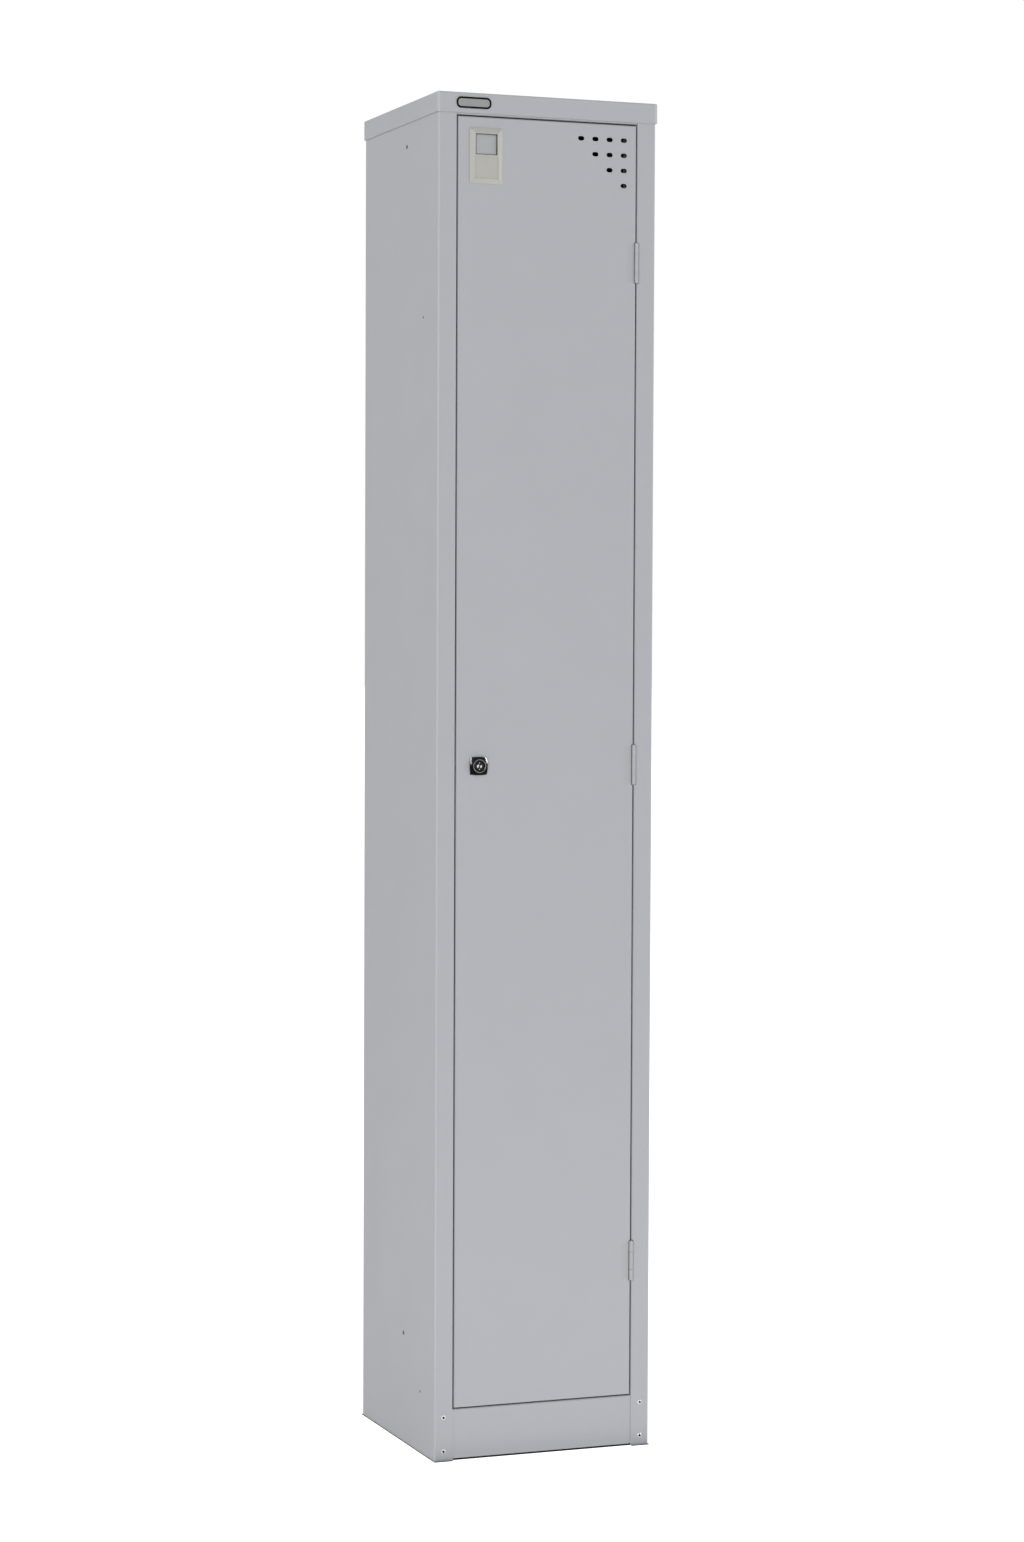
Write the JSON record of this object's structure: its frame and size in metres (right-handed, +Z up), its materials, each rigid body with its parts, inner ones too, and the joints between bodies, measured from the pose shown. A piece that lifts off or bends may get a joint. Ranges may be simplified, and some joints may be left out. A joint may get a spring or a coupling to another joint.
{
  "type": "metal locker",
  "caption": "Tall narrow sheet-steel locker with a hinged vented door, cam lock, card holder, hat shelf, coat rail and hooks.",
  "frame": {"origin": "on the floor under the middle of the body", "axes": "+X to the right seen from the front, +Y to the back, +Z up; the door is shut and its lock is open"},
  "size_m": [0.315, 0.3137, 1.83],
  "materials": {
    "body_paint": "light grey powder coat, satin, fine orange peel",
    "door_paint": "light grey powder coat, satin, fine orange peel",
    "zinc_steel": "bright zinc plate",
    "plate_metal": "satin, blank",
    "buffer_rubber": "matt",
    "black_plastic": "matt moulded",
    "cream_plastic": "satin moulded",
    "clear_plastic": "clear sheet",
    "card": "blank grey card",
    "lock_black": "gloss black",
    "lock_metal": "bright nickel, worn"
  },
  "bodies": {
    "carcass": {"left_side_panel": "body_paint", "right_side_panel": "body_paint", "back_panel": "body_paint", "top_cap": "body_paint", "header_rail": "body_paint", "kick_plate": "body_paint", "floor_pan": "body_paint", "hat_shelf": "body_paint", "strike_plate": "zinc_steel", "name_plate": "plate_metal", "door_buffers": "buffer_rubber", "coat_rail": "zinc_steel", "coat_rail_caps": "black_plastic", "coat_rail_brackets": "zinc_steel", "coat_hooks": "zinc_steel", "kick_plate_rivets": "zinc_steel", "side_rivets": "body_paint", "back_rivets": "body_paint", "bracket_rivets": "zinc_steel", "hook_rivets": "zinc_steel", "upper_hinge_frame_leaf": "body_paint", "middle_hinge_frame_leaf": "body_paint", "lower_hinge_frame_leaf": "body_paint", "upper_hinge_pin": "zinc_steel", "middle_hinge_pin": "zinc_steel", "lower_hinge_pin": "zinc_steel"},
    "door": {"door_panel": "door_paint", "door_stiffener": "door_paint", "upper_hinge_door_leaf": "door_paint", "middle_hinge_door_leaf": "door_paint", "lower_hinge_door_leaf": "door_paint", "card_holder": "cream_plastic", "card_window": "clear_plastic", "name_card": "card", "lock_body": "lock_black", "lock_nut": "zinc_steel"},
    "lock": {"lock_plug": "lock_metal", "lock_cam": "zinc_steel", "cam_washer": "zinc_steel", "cam_screw": "zinc_steel"}
  },
  "joints": [
    {"name": "door_hinge", "type": "hinge", "parent": "carcass", "child": "door", "pos_m": [0.12885, -0.153, 0.935], "axis": [0, 0, 1], "range_deg": [0, 170]},
    {"name": "lock_turn", "type": "hinge", "parent": "door", "child": "lock", "pos_m": [-0.09645, -0.1525, 0.9355], "axis": [0, 1, 0], "range_deg": [0, 90]}
  ]
}
